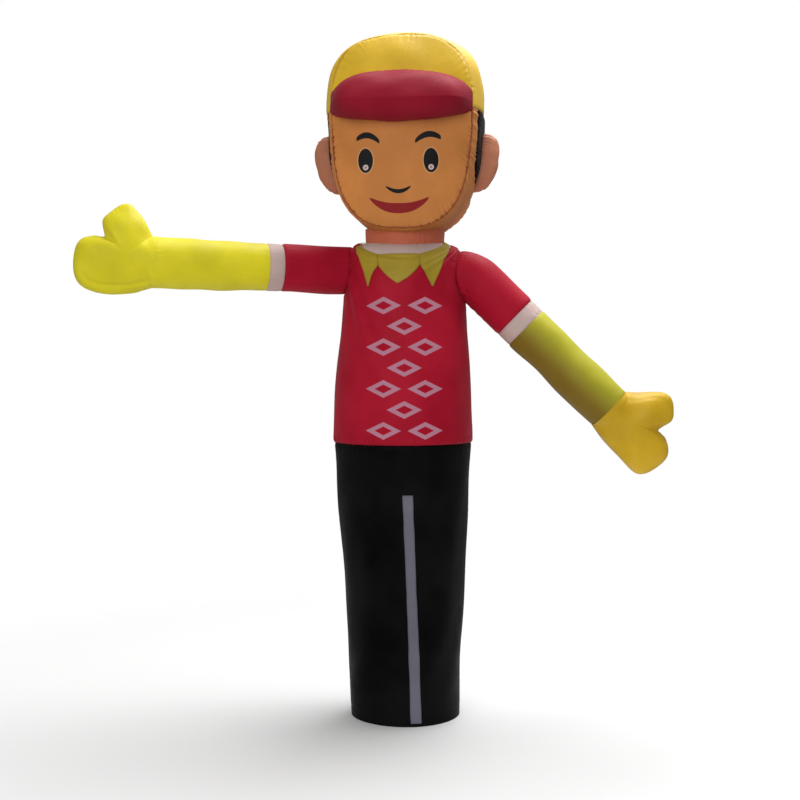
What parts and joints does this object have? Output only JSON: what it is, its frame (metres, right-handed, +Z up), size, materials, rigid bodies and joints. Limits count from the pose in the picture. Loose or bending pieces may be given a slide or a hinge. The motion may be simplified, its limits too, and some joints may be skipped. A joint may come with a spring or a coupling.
{
  "type": "inflatable air dancer",
  "caption": "Inflatable nylon attendant figure, inflated and standing, with a cap, one arm out and one arm lowered.",
  "frame": {"origin": "on the floor under the middle of the figure's box", "axes": "+Z up, -Y the way the figure faces, +X to the right of whoever faces it"},
  "size_m": [2.5466, 0.7428, 2.9753],
  "materials": {
    "black_nylon": "satin woven nylon",
    "grey_nylon": "satin woven nylon",
    "red_nylon": "satin woven nylon",
    "off_white_nylon": "satin woven nylon",
    "olive_yellow_nylon": "satin woven nylon",
    "lime_yellow_nylon": "satin woven nylon",
    "orange_yellow_nylon": "satin woven nylon",
    "skin_nylon": "satin woven nylon",
    "tan_nylon": "satin woven nylon",
    "yellow_nylon": "satin woven nylon",
    "crimson_nylon": "satin woven nylon"
  },
  "bodies": {
    "root": {"trousers": "black_nylon", "hair_back": "black_nylon", "hair_side_left": "black_nylon", "hair_side_right": "black_nylon", "leg_stripe": "grey_nylon", "shirt": "red_nylon", "sleeve_left": "red_nylon", "sleeve_right": "red_nylon", "neck_band": "off_white_nylon", "cuff_left": "off_white_nylon", "cuff_right": "off_white_nylon", "collar_inset": "olive_yellow_nylon", "collar_flap_left": "olive_yellow_nylon", "collar_flap_right": "olive_yellow_nylon", "forearm_left": "lime_yellow_nylon", "forearm_right": "lime_yellow_nylon", "hand_left": "lime_yellow_nylon", "hand_right": "orange_yellow_nylon", "face": "skin_nylon", "head_side": "skin_nylon", "neck": "tan_nylon", "ear_left": "tan_nylon", "ear_right": "tan_nylon", "cap_front": "yellow_nylon", "cap_back": "yellow_nylon", "cap_side": "yellow_nylon", "visor": "crimson_nylon"}
  },
  "joints": []
}
